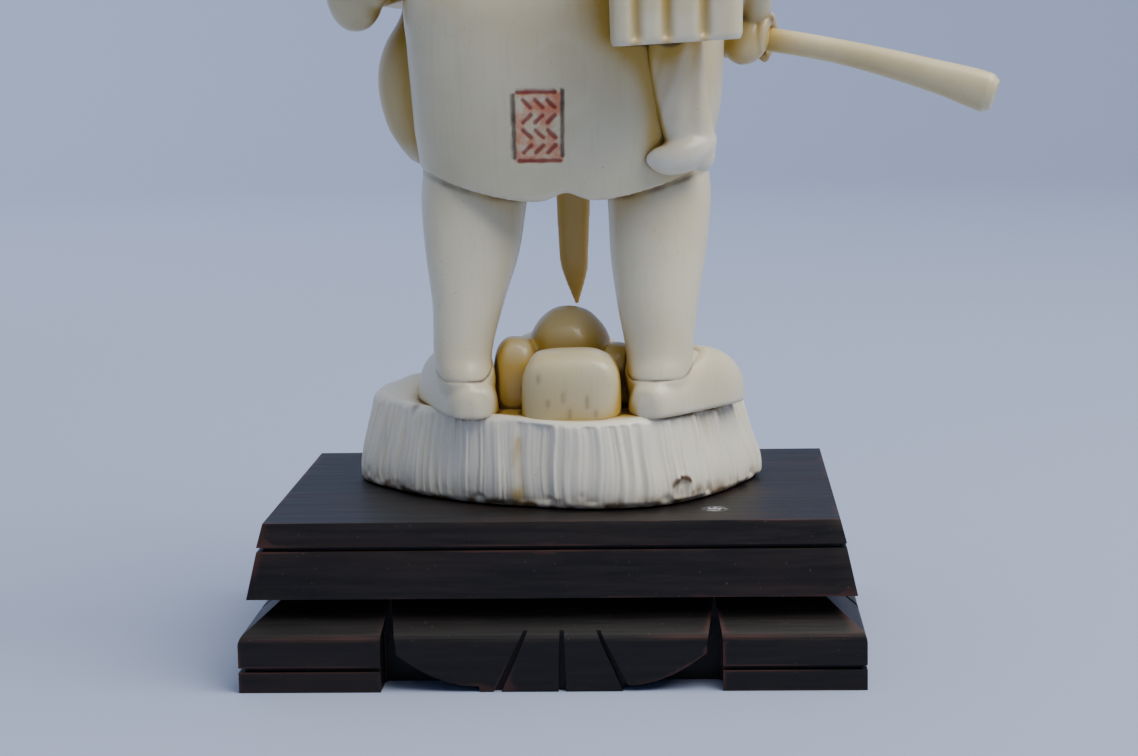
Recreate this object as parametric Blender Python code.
"""Okimono: a woodcutter with an axe, astride rocks, on a carved hardwood stand.

Metres, +Z up. The origin is the middle of the stand's flat underside. The
figure faces -Y and its left hand is at +X. The man, his rocks and the stump
are one carving, the axe is slid through his fists, and the stand is one block.
"""

import math

import bmesh
import bpy
from mathutils import Matrix, Vector, noise

# Stand
STAND_WIDTH = 0.1256
STAND_DEPTH = 0.092
STAND_HEIGHT = 0.0336
FOOT_FACE = 0.011
WAIST_LOW = 0.0175
WAIST_HIGH = 0.0183
SLAB_LOW = 0.0187
WAIST_INSET = 0.008
SLAB_INSET = 0.00175
TOP_INSET = 0.005
KERF_WIDTH = 0.0009
KERF_DEPTH = 0.0013
FOOT_KERF_HEIGHT = 0.0042
SLAB_KERF_DROP = 0.0056
FOOT_LENGTH = 0.0290
SIDE_FOOT_LENGTH = 0.024
APRON_DEPTH = 0.009
FAN_SHIFT = -0.0022
LEAF_EDGE = 0.0102
NOTCH_WIDTH = 0.0028
FAN_WIDTH = 0.029
VEIN_WIDTH = 0.0013
VEIN_DEPTH = 0.0015

# Stump that the man stands on, carved in one with him
SEAT_GAP = 0.0003
STUMP_WIDTH = 0.0895
STUMP_DEPTH = 0.0725
STUMP_HEIGHT = 0.0183
STUMP_OFFSET = (0.0006, -0.0050)
BARK_RELIEF = 0.0005
MOUND_PLACE = (0.0305, -0.0100)
MOUND_SPREAD = (0.0075, 0.0075)
MOUND_RISE = 0.0044

# The man, sole to crown. His proportions are given in parts, 156 to his height.
FIGURE_HEIGHT = 0.156
PART = FIGURE_HEIGHT / 156.0

# Axe
SHAFT_WIDTH = 0.0044
SHAFT_HEIGHT = 0.0052
BUTT_WIDTH = 0.0058
BUTT_HEIGHT = 0.0086
GRIP_CLEARANCE = 0.0003
AXE_HEAD_LENGTH = 0.0185
AXE_HEAD_THICKNESS = 0.0060
AXE_EDGE_LENGTH = 0.0125
AXE_POLL_LENGTH = 0.0085

SOLE = STAND_HEIGHT + SEAT_GAP + STUMP_HEIGHT

# Rows of height, centre x, centre y, half width, half depth, in parts
JACKET = (
    (43.0, -2.4, 0.0, 30.6, 20.6),
    (52.0, -2.5, 0.0, 31.7, 21.8),
    (63.0, -2.9, 0.0, 32.6, 22.5),
    (75.0, -2.8, 0.0, 33.3, 22.5),
    (85.0, -2.6, -0.5, 33.5, 22.0),
    (92.0, -2.6, -1.0, 30.2, 20.2),
    (98.0, -2.5, -1.0, 28.4, 19.2),
    (106.0, -2.5, -0.6, 28.8, 19.6),
    (114.0, -2.5, -0.2, 28.2, 18.8),
    (120.0, -2.5, 0.3, 25.4, 16.6),
    (124.5, -2.5, 0.3, 19.0, 12.8),
    (128.0, -2.5, -0.2, 11.6, 9.8),
    (131.0, -2.5, -1.2, 8.8, 8.6),
)
LEFT_LEG = (
    (2.0, 17.8, 14.6, 5.2, 6.2),
    (7.0, 18.6, 14.5, 6.2, 6.8),
    (12.0, 19.1, 13.9, 6.1, 7.0),
    (22.0, 17.9, 11.6, 7.5, 8.2),
    (32.0, 17.1, 8.0, 9.8, 9.6),
    (43.0, 16.8, 3.6, 11.2, 11.4),
    (50.0, 16.0, 2.0, 11.6, 12.0),
)
RIGHT_LEG = (
    (2.0, -21.4, 16.2, 5.4, 6.4),
    (7.0, -21.6, 15.9, 6.6, 6.8),
    (12.0, -22.0, 15.0, 7.0, 7.2),
    (22.0, -21.7, 12.4, 8.5, 8.4),
    (32.0, -21.9, 8.4, 10.0, 9.8),
    (43.0, -22.2, 4.0, 10.9, 11.2),
    (50.0, -21.4, 2.4, 11.2, 12.0),
)
# Rows of distance from the heel, half width, height, in parts
SHOE = (
    (0.0, 0.8, 2.6),
    (0.8, 3.2, 5.2),
    (2.5, 4.7, 6.6),
    (6.0, 5.7, 7.4),
    (13.0, 6.4, 9.2),
    (20.0, 7.0, 10.2),
    (26.0, 7.3, 8.8),
    (30.5, 6.2, 6.6),
    (33.0, 3.8, 4.6),
    (34.0, 0.8, 2.2),
)
# Places of the heel and the toes on the stump, in parts
LEFT_SHOE = ((15.4, 25.0), (24.6, -7.8))
RIGHT_SHOE = ((-18.2, 26.0), (-36.0, -3.0))
# Rows of place x, y, z, half width, half height, in parts
RIGHT_SLEEVE = (
    (-14.0, 0.0, 120.0, 9.0, 8.0),
    (-25.0, 0.5, 116.0, 9.5, 9.0),
    (-33.5, 2.0, 109.5, 8.8, 9.5),
    (-39.5, 2.5, 101.5, 7.8, 9.0),
    (-43.0, -2.0, 95.0, 6.6, 8.0),
    (-44.2, -7.0, 91.8, 5.8, 6.6),
    (-44.4, -8.2, 91.0, 4.6, 5.2),
)
RIGHT_WRIST = (
    (-44.5, -4.0, 94.0, 3.6, 3.8),
    (-44.3, -9.0, 88.5, 3.2, 3.6),
    (-43.6, -13.0, 83.6, 3.1, 3.4),
    (-42.8, -15.2, 80.4, 3.5, 3.8),
)
LEFT_SLEEVE = (
    (9.0, 0.0, 120.0, 9.0, 8.0),
    (20.0, 0.5, 116.0, 9.5, 9.0),
    (30.0, 2.0, 109.5, 8.6, 9.8),
    (38.0, 1.0, 99.5, 7.2, 11.6),
    (41.4, -5.5, 91.2, 6.2, 12.2),
    (38.0, -13.0, 89.5, 5.4, 10.4),
    (32.5, -20.0, 88.6, 4.8, 8.0),
    (31.6, -21.0, 88.4, 3.8, 6.4),
)
# Centre x, y, z, half width, half depth, half height, squareness, in parts
SLEEVE_CORNER = (41.4, -5.0, 89.6, 7.3, 6.0, 11.0, 2.4)
LEFT_WRIST = (
    (36.0, -15.5, 89.0, 3.6, 3.8),
    (30.0, -23.0, 88.0, 3.2, 3.5),
    (26.6, -26.6, 87.8, 3.2, 3.5),
    (24.4, -28.8, 87.6, 3.3, 3.6),
)
TOWEL = (
    (-25.5, 17.8, 84.0, 5.2, 3.2),
    (-26.6, 17.6, 72.0, 5.0, 3.0),
    (-28.2, 16.4, 62.0, 4.7, 3.2),
    (-28.9, 15.6, 54.0, 4.3, 3.4),
    (-29.0, 15.4, 50.4, 2.2, 1.6),
)
TOWEL_TIP = (
    (-34.0, 12.6, 52.8, 1.8, 1.8),
    (-31.0, 15.0, 52.4, 3.4, 3.0),
    (-26.6, 17.6, 52.2, 3.4, 2.9),
    (-23.0, 18.8, 52.0, 2.4, 2.3),
    (-20.8, 19.0, 52.3, 1.0, 1.2),
)
SASH = (
    (-2.6, -21.2, 92.0, 5.0, 1.6),
    (-2.6, -22.6, 75.0, 4.6, 1.5),
    (-2.7, -23.2, 58.0, 4.2, 1.3),
    (-2.8, -23.2, 42.0, 3.8, 1.1),
    (-2.7, -23.4, 30.0, 3.3, 1.0),
    (-2.9, -23.6, 25.0, 2.8, 0.9),
    (-3.2, -23.8, 17.5, 0.35, 0.3),
)
# Rows of height and radius, in parts
GOURD = (
    (49.5, 0.4),
    (50.6, 2.6),
    (53.5, 5.0),
    (58.0, 7.6),
    (65.0, 9.3),
    (71.0, 9.2),
    (76.0, 7.6),
    (81.0, 4.6),
    (84.5, 3.6),
    (88.0, 4.5),
    (91.0, 5.0),
    (94.0, 3.9),
    (96.0, 1.9),
    (99.0, 1.5),
)
GOURD_AXIS = (29.3, -15.0)
# Rows of angle round the stump in degrees and share of its half width there
STUMP_OUTLINE = (
    (-5.0, 1.0),
    (24.0, 0.85),
    (50.0, 0.83),
    (81.0, 0.905),
    (103.0, 1.03),
    (119.0, 1.06),
    (135.0, 0.99),
    (163.0, 0.935),
    (185.0, 0.99),
    (220.0, 1.02),
    (260.0, 0.97),
    (300.0, 1.03),
    (330.0, 0.98),
    (355.0, 1.0),
)
# Rows of centre x, y, z, half width, half depth, half height, squareness, in parts
ROCKS = (
    (-3.7, 19.8, 3.4, 10.3, 7.2, 9.8, 4.2),
    (-2.5, 0.4, 11.4, 8.8, 8.2, 8.7, 2.05),
    (-2.2, -3.0, 4.0, 12.0, 12.0, 8.6, 2.4),
    (8.4, 8.0, 5.2, 4.7, 6.5, 9.3, 3.4),
    (-13.0, 8.0, 4.8, 4.2, 6.0, 8.2, 3.0),
    (0.2, -26.0, 3.4, 14.4, 8.6, 8.6, 2.5),
    (-19.5, -22.0, 1.8, 8.0, 7.0, 5.4, 2.4),
)
ROCK_TAPER = 0.13

# The carrying strap: rows of angle round the jacket in degrees, height, stand-off
STRAP = (
    (126.0, 96.0, 0.2),
    (104.0, 105.0, 0.5),
    (80.0, 113.5, 0.5),
    (55.0, 121.0, 0.5),
    (15.0, 125.4, 0.5),
    (-30.0, 124.4, 0.5),
    (-60.0, 117.5, 0.5),
    (-86.0, 109.5, 0.5),
    (-112.0, 102.0, 0.5),
    (-140.0, 95.0, 0.0),
)

# The man's head, in parts
HEAD_CENTRE = Vector((-2.5, -3.6, 142.2))
HEAD_SIZE = (10.2, 12.0, 13.9)

# The axe's line, in parts: butt, right hand, left hand, head
AXE_LINE = (
    (-93.0, -3.4, 62.9),
    (-88.1, -4.8, 64.7),
    (-82.1, -6.4, 66.7),
    (-70.1, -9.6, 70.2),
    (-57.7, -12.9, 73.2),
    (-42.4, -17.0, 75.9),
    (-10.0, -26.0, 80.9),
    (22.0, -34.0, 85.6),
    (43.0, -39.0, 88.8),
)
RIGHT_GRIP = Vector((-41.6, -17.2, 76.0))
LEFT_GRIP = Vector((22.0, -34.0, 85.6))
RIGHT_PALM = Vector((0.1, 0.35, 1.0))
LEFT_PALM = Vector((0.2, 0.9, 0.6))

# The carrying box at his right hip, in parts
BOX_MIDDLE = (-26.0, 32.0)
BOX_LOW = 75.6
BOX_HIGH = 108.0
BOX_HALF_WIDTH = 13.4
BOX_HALF_DEPTH = 12.0
BOX_SLATS = 4
BOX_RIM = 1.8
BOX_LID = 5.0
BOX_LID_LINE = 0.7
SLAT_GROOVE_WIDTH = 1.8
SLAT_GROOVE_DEPTH = 0.75

# Share of the joined carving's faces that is kept
FACE_SHARE = 0.52

IVORY = (0.62, 0.58, 0.48)
IVORY_ROUGHNESS = 0.35
ROSEWOOD = (0.012, 0.009, 0.009)
ROSEWOOD_ROUGHNESS = 0.45


def clear_scene():
    for thing in list(bpy.data.objects):
        bpy.data.objects.remove(thing)


def finish_of(name, colour, roughness):
    material = bpy.data.materials.new(name)
    material.use_nodes = True
    shader = material.node_tree.nodes["Principled BSDF"]
    shader.inputs["Base Color"].default_value = (*colour, 1.0)
    shader.inputs["Roughness"].default_value = roughness
    return material


def flow(rows, at):
    """Values at `at` of a smooth curve through rows of (place, value, ...)."""
    last = len(rows) - 2
    k = 0
    while k < last and rows[k + 1][0] < at:
        k += 1
    start, end = rows[k], rows[k + 1]
    before, after = rows[max(k - 1, 0)], rows[min(k + 2, last + 1)]
    span = end[0] - start[0]
    u = min(max((at - start[0]) / span, 0.0), 1.0)
    values = []
    for p, a, b, n in zip(before[1:], start[1:], end[1:], after[1:]):
        lead = (b - p) / (end[0] - before[0]) * span
        trail = (n - a) / (after[0] - start[0]) * span
        bend = (2 * u**3 - 3 * u**2 + 1) * a + (u**3 - 2 * u**2 + u) * lead
        values.append(bend + (3 * u**2 - 2 * u**3) * b + (u**3 - u**2) * trail)
    return values


def numbered(rows):
    """The same rows, each led by its own number, to be read along with flow."""
    return tuple((float(i), *row) for i, row in enumerate(rows))


def ease(low, high, x):
    u = min(max((x - low) / (high - low), 0.0), 1.0)
    return u * u * (3.0 - 2.0 * u)


def rounded(value, squareness):
    return math.copysign(abs(value) ** (2.0 / squareness), value)


def on_stump(x, y, z):
    """World place of a point given in parts from the middle of the stump's top."""
    return Vector((x * PART, y * PART, SOLE + z * PART))


def solid(name, bm):
    """A named object of a finished bmesh, its faces turned outwards."""
    bm.normal_update()
    bmesh.ops.recalc_face_normals(bm, faces=bm.faces)
    mesh = bpy.data.meshes.new(name)
    bm.to_mesh(mesh)
    bm.free()
    mesh.shade_smooth()
    mesh.set_sharp_from_angle(angle=math.radians(40))
    thing = bpy.data.objects.new(name, mesh)
    bpy.context.scene.collection.objects.link(thing)
    return thing


def tube(name, segments, rows, place):
    """A closed tube whose points place(angle, share of its length) sets."""
    bm = bmesh.new()
    bmesh.ops.create_cone(
        bm, cap_ends=True, segments=segments, radius1=1.0, radius2=1.0, depth=1.0
    )
    upright = [e for e in bm.edges if abs(e.verts[0].co.z - e.verts[1].co.z) > 0.5]
    bmesh.ops.subdivide_edges(bm, edges=upright, cuts=rows - 1)
    for vert in bm.verts:
        angle = math.atan2(vert.co.y, vert.co.x)
        vert.co = place(angle, vert.co.z + 0.5)
    bmesh.ops.poke(bm, faces=[f for f in bm.faces if len(f.verts) > 4])
    bmesh.ops.triangulate(bm, faces=bm.faces)
    return solid(name, bm)


def ball(name, segments, rings, place):
    """A closed ball whose points place(direction) sets."""
    bm = bmesh.new()
    bmesh.ops.create_uvsphere(bm, u_segments=segments, v_segments=rings, radius=1.0)
    for vert in bm.verts:
        vert.co = place(vert.co.normalized())
    bmesh.ops.triangulate(bm, faces=bm.faces)
    return solid(name, bm)


def upright_form(name, rows, segments, levels, squareness=2.0):
    """A form stacked up from rows of height, centre and half sizes."""
    low, high = rows[0][0], rows[-1][0]

    def place(angle, share):
        z = low + (high - low) * share
        cx, cy, half_width, half_depth = flow(rows, z)
        x = cx + half_width * rounded(math.cos(angle), squareness)
        y = cy + half_depth * rounded(math.sin(angle), squareness)
        return on_stump(x, y, z)

    return tube(name, segments, levels, place)


def limb(name, rows, segments, levels, side, squareness=2.0, ripple=0.0):
    """A form swept along rows of x, y, z, half width (towards side), half height.

    Side is a direction, or a row of them with one for each row of the form.
    """
    sides = side if isinstance(side, (list, tuple)) else [side] * len(rows)
    sides = numbered(sides)
    rows = numbered(rows)
    last = len(rows) - 1

    def place(angle, share):
        x, y, z, half_width, half_height = flow(rows, share * last)
        ahead = Vector(flow(rows, min(share * last + 0.05, last))[:3])
        behind = Vector(flow(rows, max(share * last - 0.05, 0.0))[:3])
        along = (ahead - behind).normalized()
        way = Vector(flow(sides, share * last))
        across = (way - along * way.dot(along)).normalized()
        up = along.cross(across)
        crease = ripple * math.sin(share * 21.0 + 2.0 * math.sin(angle))
        crease *= math.sin(math.pi * share)
        half_width += crease
        half_height += crease
        point = Vector((x, y, z))
        point += across * half_width * rounded(math.cos(angle), squareness)
        point += up * half_height * rounded(math.sin(angle), squareness)
        return on_stump(*point)

    return tube(name, segments, levels, place)


def stump():
    """Low stump with fluted bark, its top a little dished and raised at one rim."""
    half_width, half_depth = STUMP_WIDTH / 2, STUMP_DEPTH / 2
    low, high = STAND_HEIGHT + SEAT_GAP, SOLE
    profile = (
        (0.0, 0.955, 0.00),
        (0.1, 0.985, 0.05),
        (0.3, 1.000, 0.22),
        (0.5, 0.985, 0.60),
        (0.62, 0.970, 0.93),
        (0.70, 0.940, 1.01),
        (0.82, 0.800, 1.00),
        (1.0, 0.150, 1.00),
    )

    def place(angle, share):
        degrees = math.degrees(angle)
        if degrees < STUMP_OUTLINE[0][0]:
            degrees += 360.0
        outline = flow(STUMP_OUTLINE, degrees)[0]
        reach, rise = flow(profile, share)
        near = math.exp(-(((degrees - 80.0) / 38.0) ** 2))
        taper = 1.0 - 0.07 * (1.0 - near) * min(rise, 1.0)
        x, y = math.cos(angle), math.sin(angle)
        bark = noise.noise(Vector((x * 13.0, y * 13.0, share * 2.0)))
        on_side = ease(0.02, 0.12, share) * (1.0 - ease(0.6, 0.72, share))
        scale = outline * reach * taper
        proud = 2.2 * bark * on_side * BARK_RELIEF
        x = STUMP_OFFSET[0] + x * (half_width * scale + proud)
        y = STUMP_OFFSET[1] + y * (half_depth * scale + proud)
        away_x = (x - MOUND_PLACE[0]) / MOUND_SPREAD[0]
        away_y = (y - MOUND_PLACE[1]) / MOUND_SPREAD[1]
        lift = MOUND_RISE * math.exp(-away_x**2 - away_y**2) * ease(0.60, 0.72, share)
        return Vector((x, y, low + (high - low) * rise + lift))

    return tube("figure", 84, 8, place)


def rocks():
    made = []
    for number, (x, y, z, wide, deep, tall, square) in enumerate(ROCKS):

        def place(way):
            lump = 1.0 + 0.035 * noise.noise(way * 1.7 + Vector((number * 5.0, 0, 0)))
            up = rounded(way.z, square)
            narrow = lump - ROCK_TAPER * max(up, 0.0) ** 2
            return on_stump(
                x + wide * narrow * rounded(way.x, square),
                y + deep * narrow * rounded(way.y, square),
                z + tall * lump * up,
            )

        made.append(ball(f"rock_{number}", 12, 8, place))
    return made


def pouch():
    """The hanging corner of his left sleeve."""
    x, y, z, wide, deep, tall, square = SLEEVE_CORNER

    def place(way):
        return on_stump(
            x + wide * rounded(way.x, square),
            y + deep * rounded(way.y, square),
            z + tall * rounded(way.z, square),
        )

    return ball("sleeve_corner", 14, 9, place)


def shoe(name, heel, toe):
    """A straw-soled shoe, flat below, from the back of the heel to the toes."""
    heel, toe = Vector(heel), Vector(toe)
    along = (toe - heel).normalized()
    across = Vector((-along.y, along.x))
    length = SHOE[-1][0]

    def place(angle, share):
        reach = length * share
        half_width, height = flow(SHOE, reach)
        spot = heel + along * reach + across * half_width * rounded(math.cos(angle), 3.0)
        up = math.sin(angle)
        z = height * rounded(up, 3.4) if up > 0 else 0.6 * up
        return on_stump(spot.x, spot.y, z)

    return tube(name, 16, 8, place)


def jacket():
    """Short coat to the knee, its hem arched at the sides and between the legs."""
    low, high = JACKET[0][0], JACKET[-1][0]

    def place(angle, share):
        under = 1.0 - ease(0.0, 0.06, share)
        z = low + (high - low) * max(share - 0.06, 0.0) / 0.94
        cx, cy, half_width, half_depth = flow(JACKET, z)
        c, s = rounded(math.cos(angle), 2.25), rounded(math.sin(angle), 2.25)
        front = ease(0.15, 0.9, -s)
        skirt = 1.0 - ease(60.0, 94.0, z)
        fold = 0.9 * math.cos(9.0 * angle) * front * skirt
        x = c * (half_width + fold)
        y = s * (half_depth + fold)
        arch = 7.0 * (x / 31.0) ** 2 + 2.2 * math.exp(-(((x + 1.0) / 3.6) ** 2))
        z += arch * (1.0 - ease(low, 66.0, z)) + 4.0 * under
        shrink = 1.0 - 0.7 * under
        return on_stump(cx + x * shrink, cy + y * shrink, z)

    return tube("jacket", 36, 17, place)


def jacket_surface(degrees, height, stand_off):
    """Point and outward direction on the coat's side, in parts."""
    cx, cy, half_width, half_depth = flow(JACKET, height)
    angle = math.radians(degrees)
    c, s = rounded(math.cos(angle), 2.25), rounded(math.sin(angle), 2.25)
    outward = Vector((c / half_width, s / half_depth, 0.0)).normalized()
    point = Vector((cx + half_width * c, cy + half_depth * s, height))
    return point + outward * stand_off, outward


def strap():
    """Band that carries the box, over his left shoulder and across the chest."""
    rows, ways = [], []
    for degrees, height, stand_off in STRAP:
        point, outward = jacket_surface(degrees, height, stand_off)
        rising = 1.6 * ease(117.0, 126.0, height)
        rows.append((point.x, point.y, point.z, 1.0, 2.5))
        ways.append((outward + Vector((0.0, 0.0, rising))).normalized())
    return limb("strap", rows, 8, 18, ways, 2.6)


def band(name, low, high, proud):
    """A sash round the waist, standing proud of the jacket."""

    def place(angle, share):
        z = low + (high - low) * share
        swell = proud * math.sin(math.pi * (0.1 + 0.8 * share)) ** 0.5
        cx, cy, half_width, half_depth = flow(JACKET, z)
        x = cx + (half_width + swell) * rounded(math.cos(angle), 2.25)
        y = cy + (half_depth + swell) * rounded(math.sin(angle), 2.25)
        return on_stump(x, y, z)

    return tube(name, 36, 3, place)


def lapel(name, start_side, end_side):
    """A collar band that runs from the neck down to the sash, across the chest."""
    rows = []
    for step in range(6):
        share = step / 5.0
        z = 127.5 - 31.5 * share
        cx, cy, half_width, half_depth = flow(JACKET, z)
        x = start_side + (end_side - start_side) * share
        y = cy - half_depth * (1.0 - min(abs(x / half_width), 0.95) ** 2.25) ** (1 / 2.25)
        rows.append((cx + x, y - 0.1, z, 2.6, 1.3))
    return limb(name, rows, 8, 6, Vector((1.0, 0.0, 0.0)), 2.6)


def fist(name, grip, along, palm_way):
    """A closed hand: four fingers curled round the shaft and a palm behind them."""
    out = (palm_way - along * palm_way.dot(along)).normalized()
    turn = along.cross(out)
    made = []

    def palm(way):
        point = grip + along * way.x * 5.2 + out * (2.7 + way.y * 4.0) + turn * way.z * 5.4
        return on_stump(*point)

    held = ball(f"{name}_palm", 10, 7, palm)
    combine(held, "DIFFERENCE", "bore", [axe_solid(f"{name}_bore", GRIP_CLEARANCE, False)])
    made.append(held)
    for number in range(4):
        offset = (number - 1.5) * 2.6

        def finger(angle, share):
            bend = math.radians(-60.0 + 285.0 * share)
            radius = 1.7 * math.sin(math.pi * (0.06 + 0.88 * share)) ** 0.3
            arm = 4.75 + radius * math.cos(angle)
            point = grip + along * (offset + radius * math.sin(angle))
            point += out * math.cos(bend) * arm + turn * math.sin(bend) * arm
            return on_stump(*point)

        made.append(tube(f"{name}_finger_{number}", 6, 6, finger))
    return made


def face_relief(x, z):
    """How far the front of the head stands out at x and z, in parts."""
    nose = 2.1 * math.exp(-((x / 1.7) ** 2) - ((z + 2.0) / 2.6) ** 2)
    brow = 0.6 * math.exp(-((z - 3.0) / 1.4) ** 2 - ((abs(x) - 3.6) / 3.2) ** 2)
    eyes = -0.9 * math.exp(-(((abs(x) - 3.6) / 1.9) ** 2) - ((z - 0.9) / 1.3) ** 2)
    cheeks = 0.6 * math.exp(-(((abs(x) - 5.2) / 2.2) ** 2) - ((z + 3.2) / 2.6) ** 2)
    lips = 0.7 * math.exp(-((x / 2.8) ** 2) - ((z + 6.4) / 1.2) ** 2)
    chin = 0.8 * math.exp(-((x / 2.6) ** 2) - ((z + 10.2) / 1.7) ** 2)
    return nose + brow + eyes + cheeks + lips + chin


def head():
    wide, deep, tall = HEAD_SIZE

    def place(way):
        z = way.z * tall
        jaw = 1.0 - 0.26 * ease(1.0, tall, -z)
        x = rounded(way.x, 2.2) * wide * jaw
        y = rounded(way.y, 2.1) * deep * (1.0 - 0.12 * ease(2.0, tall, -z))
        if way.y < 0:
            y -= face_relief(x, z) * ease(0.15, 0.75, -way.y)
        return on_stump(HEAD_CENTRE.x + x, HEAD_CENTRE.y + y, HEAD_CENTRE.z + z)

    return ball("head", 24, 19, place)


def hair():
    """Hair combed back under the headband, with a small topknot."""
    wide, deep, tall = HEAD_SIZE

    def cap(way):
        back = ease(-0.55, 0.15, way.y)
        top = ease(0.30, 0.55, way.z)
        nape = ease(-0.75, -0.45, way.z)
        swell = 1.0 + 0.085 * max(back * nape, top) - 0.12 * (1.0 - max(back * nape, top))
        return on_stump(
            HEAD_CENTRE.x + way.x * wide * swell,
            HEAD_CENTRE.y + way.y * deep * swell,
            HEAD_CENTRE.z + way.z * tall * swell,
        )

    knot = (
        (-2.5, 5.2, 153.6, 2.2, 1.6),
        (-2.5, 2.8, 156.4, 2.6, 1.9),
        (-2.5, -0.8, 157.6, 2.3, 1.6),
        (-2.5, -3.8, 157.4, 1.1, 0.8),
    )
    return [ball("hair", 18, 12, cap), limb("topknot", knot, 8, 5, Vector((1, 0, 0)))]


def headband():
    """A twisted cloth round the brow, tied behind."""
    wide, deep, tall = HEAD_SIZE

    around = 24
    bm = bmesh.new()
    bmesh.ops.create_circle(bm, cap_ends=False, segments=6, radius=1.0)
    for vert in bm.verts:
        vert.co = Vector((10.0 + 1.35 * vert.co.x, 0.0, 1.9 * vert.co.y))
    bmesh.ops.spin(
        bm, geom=bm.verts[:] + bm.edges[:], axis=(0, 0, 1), cent=(0, 0, 0),
        angle=2 * math.pi, steps=around, use_merge=True,
    )
    for vert in bm.verts:
        angle = math.atan2(vert.co.y, vert.co.x)
        out = math.hypot(vert.co.x, vert.co.y) - 10.0
        twist = 1.0 + 0.12 * math.cos(12 * angle)
        slope = 5.6 + 0.9 * math.sin(-angle)
        vert.co = on_stump(
            HEAD_CENTRE.x + math.cos(angle) * (wide * 0.985 + out * twist),
            HEAD_CENTRE.y + math.sin(angle) * (deep * 0.975 + out * twist),
            HEAD_CENTRE.z + slope + vert.co.z * twist,
        )
    tail = (
        (-2.0, 8.4, 147.6, 2.4, 1.6),
        (-4.2, 10.2, 145.6, 1.7, 1.2),
        (-6.0, 10.8, 141.0, 2.1, 0.9),
        (-6.6, 10.6, 138.0, 1.4, 0.6),
    )
    return [solid("headband", bm), limb("headband_tail", tail, 8, 6, Vector((1, 0, 0)))]


def ear(name, side):
    def place(way):
        return on_stump(
            HEAD_CENTRE.x + side * (HEAD_SIZE[0] * 0.97) + way.x * 1.3,
            HEAD_CENTRE.y + 1.6 + way.y * 1.8 + way.z * 0.5,
            HEAD_CENTRE.z - 0.8 + way.z * 3.2,
        )

    return ball(name, 8, 6, place)


def gourd():
    """Sake gourd hung from the sash at his left."""
    low, high = GOURD[0][0], GOURD[-1][0]

    def place(angle, share):
        z = low + (high - low) * share
        radius = max(flow(GOURD, z)[0], 0.3)
        x = GOURD_AXIS[0] + radius * math.cos(angle)
        return on_stump(x, GOURD_AXIS[1] + radius * math.sin(angle), z)

    return tube("gourd", 16, 14, place)


def carrying_box():
    """Box of upright slats on his right hip, with a rim below and a lid above."""
    mid_x, mid_y = BOX_MIDDLE
    tall = BOX_HIGH - BOX_LOW

    def place(angle, share):
        z = BOX_LOW + tall * share
        flare = 1.0 + 0.045 * share
        square = 7.0
        c, s = math.cos(angle), math.sin(angle)
        reach = (abs(c) ** square + abs(s) ** square) ** (-1.0 / square)
        soft = 1.0 - 0.05 * (1.0 - ease(0.0, 0.06, share)) - 0.04 * ease(0.95, 1.0, share)
        x = mid_x + c * reach * BOX_HALF_WIDTH * flare * soft
        y = mid_y + s * reach * BOX_HALF_DEPTH * flare * soft
        return on_stump(x, y, z)

    box = tube("box", 28, 4, place)
    combine(box, "DIFFERENCE", "grooves", box_grooves())
    return box


def box_grooves():
    """Upright grooves between the slats of the box, stopped above its rim."""
    made = []
    mid_x, mid_y = BOX_MIDDLE
    face = mid_y + BOX_HALF_DEPTH
    clear = face + 4 * SLAT_GROOVE_DEPTH
    half = SLAT_GROOVE_WIDTH / 2
    for number in range(1, BOX_SLATS):
        x = mid_x + BOX_HALF_WIDTH * 2.0 * (number / BOX_SLATS - 0.5)
        made.append(block(
            f"groove_{number}",
            on_stump(x - half, face - SLAT_GROOVE_DEPTH, BOX_LOW + BOX_RIM),
            on_stump(x + half, clear, BOX_HIGH - BOX_LID),
        ))
    line = BOX_HIGH - BOX_LID + BOX_LID_LINE
    made.append(block(
        "lid_line",
        on_stump(mid_x - BOX_HALF_WIDTH, face - SLAT_GROOVE_DEPTH / 2, line),
        on_stump(mid_x + BOX_HALF_WIDTH, clear, line + BOX_LID_LINE),
    ))
    return made


def block(name, low, high):
    bm = bmesh.new()
    bmesh.ops.create_cube(bm, size=1.0)
    size = high - low
    middle = (high + low) / 2
    for vert in bm.verts:
        vert.co = Vector([middle[i] + vert.co[i] * size[i] for i in range(3)])
    return solid(name, bm)


def slab(name, outline, place):
    """An upright plate: an outline of (across, height) set out at two depths."""
    bm = bmesh.new()
    front = [bm.verts.new(place(across, height, 0.0)) for across, height in outline]
    face = bm.faces.new(front)
    grown = bmesh.ops.extrude_face_region(bm, geom=[face])
    back = [item for item in grown["geom"] if isinstance(item, bmesh.types.BMVert)]
    shift = place(0.0, 0.0, 1.0) - place(0.0, 0.0, 0.0)
    bmesh.ops.translate(bm, verts=back, vec=shift)
    return solid(name, bm)


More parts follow.
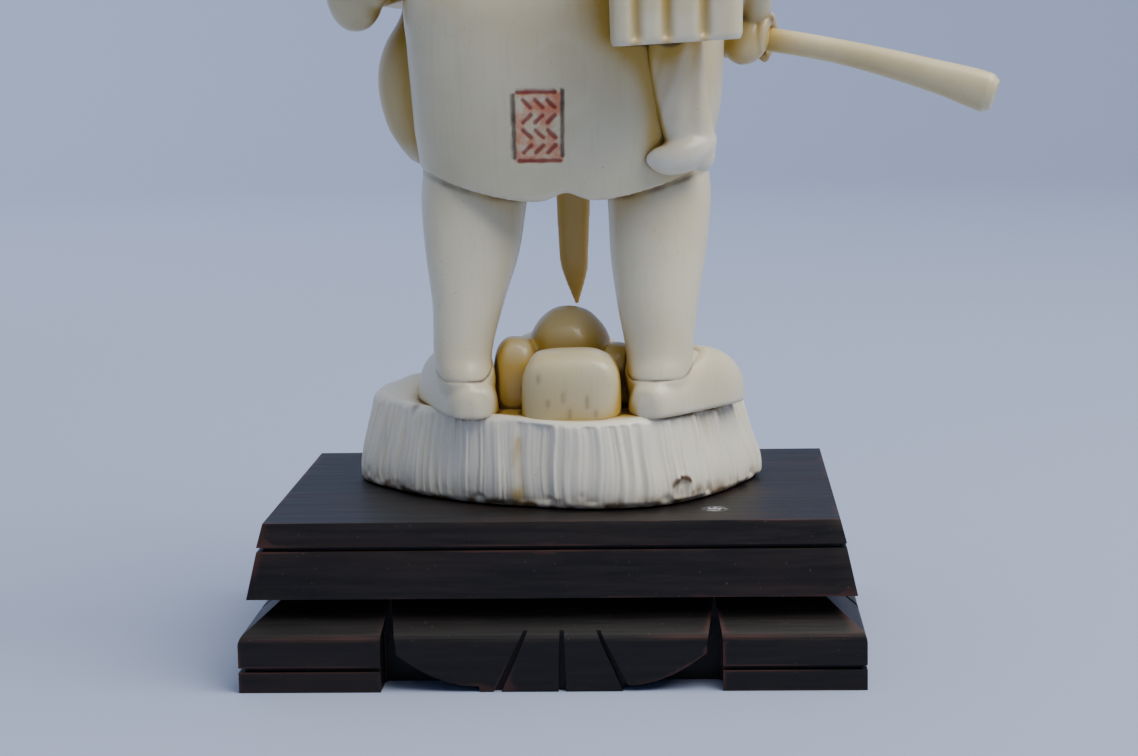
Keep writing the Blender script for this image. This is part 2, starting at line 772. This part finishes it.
def axe_solid(name, extra, butt_cap):
    """The axe's shaft, or with extra width the hole that it slides through."""
    line = numbered(AXE_LINE)
    last = len(line) - 1
    up = Vector((0.0, 0.0, 1.0))

    def place(angle, share):
        along_at = share * last
        centre = Vector(flow(line, along_at))
        ahead = Vector(flow(line, min(along_at + 0.05, last)))
        behind = Vector(flow(line, max(along_at - 0.05, 0.0)))
        along = (ahead - behind).normalized()
        rise = (up - along * up.dot(along)).normalized()
        across = along.cross(rise)
        swell = 1.0 - ease(0.3, 4.2, along_at) if butt_cap else 0.0
        high = SHAFT_HEIGHT + (BUTT_HEIGHT - SHAFT_HEIGHT) * swell
        wide = SHAFT_WIDTH + (BUTT_WIDTH - SHAFT_WIDTH) * swell
        if butt_cap:
            high *= 1.0 - 0.22 * (1.0 - ease(0.0, 0.35, along_at))
            wide *= 1.0 - 0.22 * (1.0 - ease(0.0, 0.35, along_at))
        return (
            on_stump(*centre)
            + rise * (high / 2 + extra) * math.sin(angle)
            + across * (wide / 2 + extra) * math.cos(angle)
        )

    return tube(name, 12, 16, place)


def axe_head():
    """A forged axe head, carved in one with the shaft, its edge turned up."""
    base = on_stump(*AXE_LINE[-1])
    along = (on_stump(*AXE_LINE[-1]) - on_stump(*AXE_LINE[-2])).normalized()
    up = Vector((0.0, -0.35, 1.0)).normalized()
    up = (up - along * up.dot(along)).normalized()
    side = along.cross(up)
    centre = base - along * 0.6 * AXE_POLL_LENGTH
    poll_drop = SHAFT_HEIGHT * 0.72
    rows = (
        (0.0, -poll_drop, 0.42 * AXE_POLL_LENGTH, 0.42 * AXE_HEAD_THICKNESS),
        (1.0, -poll_drop + 0.0006, 0.5 * AXE_POLL_LENGTH, 0.5 * AXE_HEAD_THICKNESS),
        (2.0, SHAFT_HEIGHT * 0.7, 0.46 * AXE_POLL_LENGTH, 0.5 * AXE_HEAD_THICKNESS),
        (3.0, AXE_HEAD_LENGTH * 0.55, 0.43 * AXE_EDGE_LENGTH, 0.26 * AXE_HEAD_THICKNESS),
        (4.0, AXE_HEAD_LENGTH - poll_drop, 0.5 * AXE_EDGE_LENGTH, 0.04 * AXE_HEAD_THICKNESS),
    )

    def place(angle, share):
        height, half_long, half_thick = flow(rows, share * 4.0)
        c, s = rounded(math.cos(angle), 4.0), rounded(math.sin(angle), 3.0)
        return centre + up * height + along * half_long * c + side * half_thick * s

    return tube("axe_head", 12, 7, place)


def rectangle_stack(name, rows):
    """A block of rectangular sections, from rows of height and inset."""
    bm = bmesh.new()
    loops = []
    for height, inset in rows:
        made = bmesh.ops.create_circle(bm, cap_ends=False, segments=4, radius=1.0)
        corners = made["verts"]
        for vert in corners:
            turned = math.atan2(vert.co.y, vert.co.x) + math.pi / 4
            vert.co = Vector((
                math.copysign(STAND_WIDTH / 2 - inset, math.cos(turned)),
                math.copysign(STAND_DEPTH / 2 - inset, math.sin(turned)),
                height,
            ))
        loops.append([e for e in bm.edges if all(v in corners for v in e.verts)])
    for lower, upper in zip(loops[:-1], loops[1:]):
        bmesh.ops.bridge_loops(bm, edges=lower + upper)
    bmesh.ops.contextual_create(bm, geom=loops[0])
    bmesh.ops.contextual_create(bm, geom=loops[-1])
    return solid(name, bm)


def stand_block():
    slab_kerf = STAND_HEIGHT - SLAB_KERF_DROP
    rise = (slab_kerf - SLAB_LOW) / (STAND_HEIGHT - SLAB_LOW)
    at_kerf = SLAB_INSET + (TOP_INSET - SLAB_INSET) * rise
    return rectangle_stack("stand", (
        (0.0, 0.0),
        (FOOT_FACE, 0.0),
        (WAIST_LOW, WAIST_INSET),
        (WAIST_HIGH, WAIST_INSET),
        (SLAB_LOW, SLAB_INSET),
        (slab_kerf, at_kerf),
        (slab_kerf + 0.1 * KERF_WIDTH, at_kerf + KERF_DEPTH),
        (slab_kerf + 0.9 * KERF_WIDTH, at_kerf + KERF_DEPTH),
        (slab_kerf + KERF_WIDTH, at_kerf),
        (STAND_HEIGHT, TOP_INSET),
    ))


def apron_cutters(name, length, depth, foot_length, facing):
    """Cutters for one side: leaf hollows, notches, the fan's veins and the feet's kerfs."""
    inner = length / 2 - foot_length
    out = 0.004
    turn = Matrix.Rotation(facing, 3, "Z")

    def reaching(cut):
        def place(across, height, back):
            y = depth / 2 + out - back * (cut + out)
            return turn @ Vector((across, y, height))

        return place

    place, shallow, through = reaching(APRON_DEPTH), reaching(VEIN_DEPTH), reaching(WAIST_INSET)
    line = reaching(KERF_DEPTH)

    fan = FAN_WIDTH / 2
    made = []
    for side in (-1, 1):
        leaf = [(side * inner, -0.002), (side * inner, LEAF_EDGE)]
        for step in range(1, 7):
            share = step / 6.0
            across = inner - (inner - fan) * share
            height = LEAF_EDGE * (1.0 - share) ** 1.9 + 0.0012 * share
            leaf.append((side * across, height))
        leaf.append((side * fan * 0.96, -0.002))
        made.append(slab(f"{name}_leaf_{side}", leaf, place))
        half = NOTCH_WIDTH / 2
        notch = [
            (side * (inner + 0.0004), -0.002),
            (side * (inner + 0.0004), FOOT_FACE),
            (side * (inner - half * 0.9), WAIST_LOW + 0.0004),
            (side * (inner - 2 * half), LEAF_EDGE * 0.9),
            (side * (inner - 2 * half), -0.002),
        ]
        made.append(slab(f"{name}_notch_{side}", notch, through))
        kerf = [
            (side * (inner - NOTCH_WIDTH / 2), FOOT_KERF_HEIGHT),
            (side * (length / 2 + out), FOOT_KERF_HEIGHT),
            (side * (length / 2 + out), FOOT_KERF_HEIGHT + KERF_WIDTH),
            (side * (inner - NOTCH_WIDTH / 2), FOOT_KERF_HEIGHT + KERF_WIDTH),
        ]
        made.append(slab(f"{name}_kerf_{side}", kerf, line))
    veins = ((-0.46, -0.96), (0.0, 0.0), (0.46, 0.96))
    for number, (above, below) in enumerate(veins):
        half = VEIN_WIDTH / 2
        vein = [
            (FAN_SHIFT + fan * below - half * 1.3, -0.002),
            (FAN_SHIFT + fan * below + half * 1.3, -0.002),
            (FAN_SHIFT + fan * above + half * 0.6, FOOT_FACE + 0.0025),
            (FAN_SHIFT + fan * above - half * 0.6, FOOT_FACE + 0.0025),
        ]
        made.append(slab(f"{name}_vein_{number}", vein, shallow))
    return made


def gather(name, things):
    """Put helper solids in a collection of their own, hidden from renders."""
    group = bpy.data.collections.new(name)
    bpy.context.scene.collection.children.link(group)
    for thing in things:
        for owner in list(thing.users_collection):
            owner.objects.unlink(thing)
        group.objects.link(thing)
        thing.hide_render = True
        thing.display_type = "WIRE"
    return group


def combine(thing, operation, name, others):
    change = thing.modifiers.new(name, "BOOLEAN")
    change.operation = operation
    change.operand_type = "COLLECTION"
    change.solver = "EXACT"
    change.collection = gather(f"{thing.name}_{name}", others)


def make_figure(material):
    along = (on_stump(*AXE_LINE[6]) - on_stump(*AXE_LINE[4])).normalized()
    left_along = (on_stump(*AXE_LINE[8]) - on_stump(*AXE_LINE[6])).normalized()
    across = Vector((1.0, 0.0, 0.0))
    figure = stump()
    parts = rocks()
    parts.append(shoe("left_shoe", *LEFT_SHOE))
    parts.append(shoe("right_shoe", *RIGHT_SHOE))
    parts.append(upright_form("left_leg", LEFT_LEG, 18, 9))
    parts.append(upright_form("right_leg", RIGHT_LEG, 18, 9))
    parts.append(jacket())
    parts.append(band("sash", 90.0, 97.5, 1.5))
    parts.append(lapel("lapel_under", -6.5, 7.0))
    parts.append(lapel("lapel_over", 6.5, -7.5))
    parts.append(strap())
    parts.append(limb("right_sleeve", RIGHT_SLEEVE, 14, 10, Vector((0.0, 1.0, 0.0)), 2.0, 0.5))
    parts.append(limb("right_wrist", RIGHT_WRIST, 8, 5, across))
    parts.append(limb("left_sleeve", LEFT_SLEEVE, 14, 12, Vector((0.55, 0.83, 0.0)), 2.0, 0.5))
    parts.append(pouch())
    parts.append(limb("left_wrist", LEFT_WRIST, 8, 4, across))
    parts.append(limb("towel", TOWEL, 12, 8, Vector((1.0, 0.3, 0.0)), 2.4))
    parts.append(limb("towel_tip", TOWEL_TIP, 10, 7, Vector((0.0, 0.0, 1.0))))
    parts.append(limb("sash_end", SASH, 10, 8, across, 2.6))
    parts.append(gourd())
    parts.append(carrying_box())
    parts.append(head())
    parts += hair() + headband() + [ear("left_ear", 1), ear("right_ear", -1)]
    parts += fist("right_hand", RIGHT_GRIP, along, RIGHT_PALM)
    parts += fist("left_hand", LEFT_GRIP, left_along, LEFT_PALM)
    combine(figure, "UNION", "carving", parts)
    thin = figure.modifiers.new("thin", "DECIMATE")
    thin.ratio = FACE_SHARE
    figure.data.materials.append(material)
    return figure


def make_axe(material):
    axe = axe_solid("axe", 0.0, True)
    combine(axe, "UNION", "head", [axe_head()])
    axe.data.materials.append(material)
    return axe


def make_stand(material):
    stand = stand_block()
    cutters = []
    for name, facing in (("back", 0.0), ("front", math.pi)):
        cutters += apron_cutters(name, STAND_WIDTH, STAND_DEPTH, FOOT_LENGTH, facing)
    for name, facing in (("left", -math.pi / 2), ("right", math.pi / 2)):
        cutters += apron_cutters(name, STAND_DEPTH, STAND_WIDTH, SIDE_FOOT_LENGTH, facing)
    combine(stand, "DIFFERENCE", "apron", cutters)
    stand.data.materials.append(material)
    return stand


def main():
    clear_scene()
    ivory = finish_of("ivory", IVORY, IVORY_ROUGHNESS)
    rosewood = finish_of("rosewood", ROSEWOOD, ROSEWOOD_ROUGHNESS)
    make_stand(rosewood)
    make_figure(ivory)
    make_axe(ivory)


main()
